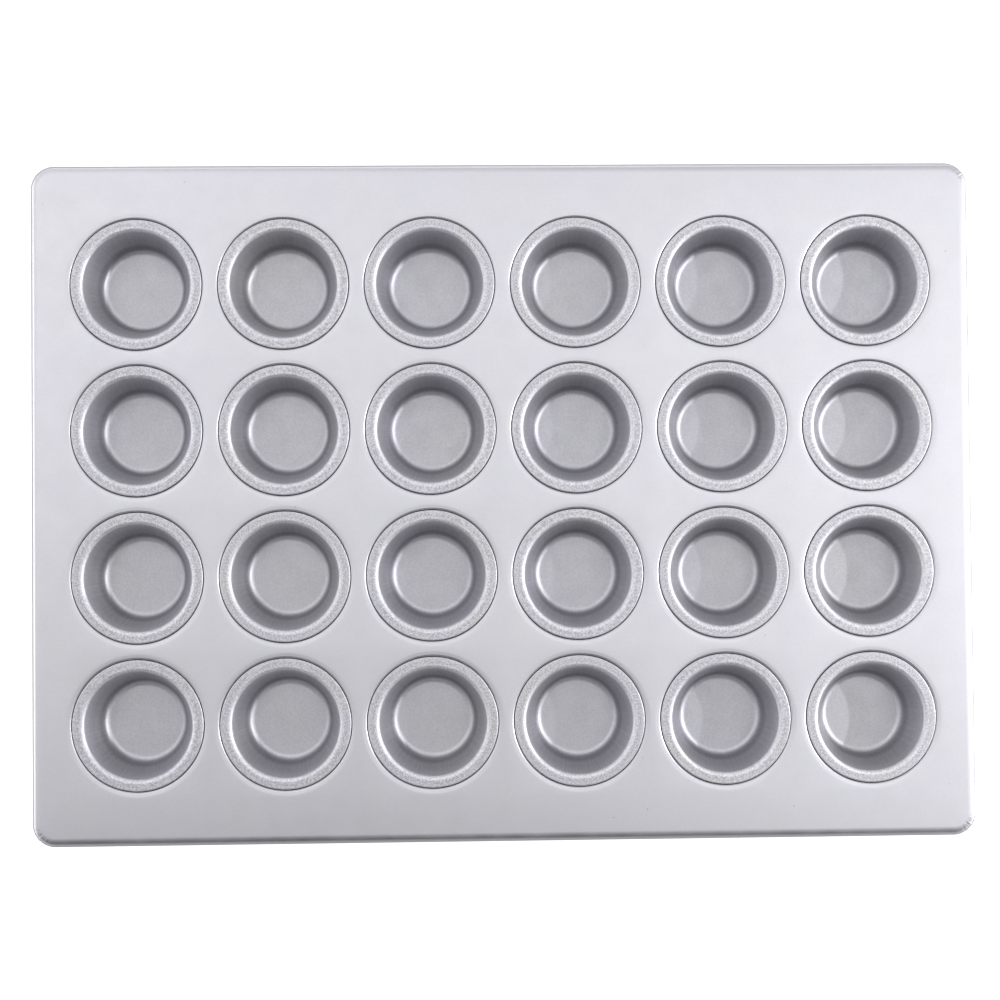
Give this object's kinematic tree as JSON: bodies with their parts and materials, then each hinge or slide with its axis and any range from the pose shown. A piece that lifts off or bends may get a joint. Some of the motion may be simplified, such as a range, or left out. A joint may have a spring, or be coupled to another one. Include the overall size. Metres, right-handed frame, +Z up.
{
  "type": "muffin tin",
  "caption": "Half-size mini-muffin pan: drawn round cups lock-seamed into a flat frame sheet whose edge is rolled round a wire.",
  "frame": {"origin": "below the pan's centre, on the surface that the cup floors stand on", "axes": "+X along the pan's length, +Y along its width, +Z up out of the cups"},
  "size_m": [0.454, 0.327, 0.0195],
  "materials": {
    "frame_sheet": "satin glaze over aluminized steel",
    "cup_sheet": "satin glaze over drawn aluminized steel",
    "rim_wire": "drawn steel wire"
  },
  "bodies": {
    "root": {"top_plate": "frame_sheet", "rim_wire": "rim_wire", "cup_r1c1": "cup_sheet", "cup_r1c2": "cup_sheet", "cup_r1c3": "cup_sheet", "cup_r1c4": "cup_sheet", "cup_r1c5": "cup_sheet", "cup_r1c6": "cup_sheet", "cup_r2c1": "cup_sheet", "cup_r2c2": "cup_sheet", "cup_r2c3": "cup_sheet", "cup_r2c4": "cup_sheet", "cup_r2c5": "cup_sheet", "cup_r2c6": "cup_sheet", "cup_r3c1": "cup_sheet", "cup_r3c2": "cup_sheet", "cup_r3c3": "cup_sheet", "cup_r3c4": "cup_sheet", "cup_r3c5": "cup_sheet", "cup_r3c6": "cup_sheet", "cup_r4c1": "cup_sheet", "cup_r4c2": "cup_sheet", "cup_r4c3": "cup_sheet", "cup_r4c4": "cup_sheet", "cup_r4c5": "cup_sheet", "cup_r4c6": "cup_sheet"}
  },
  "joints": []
}
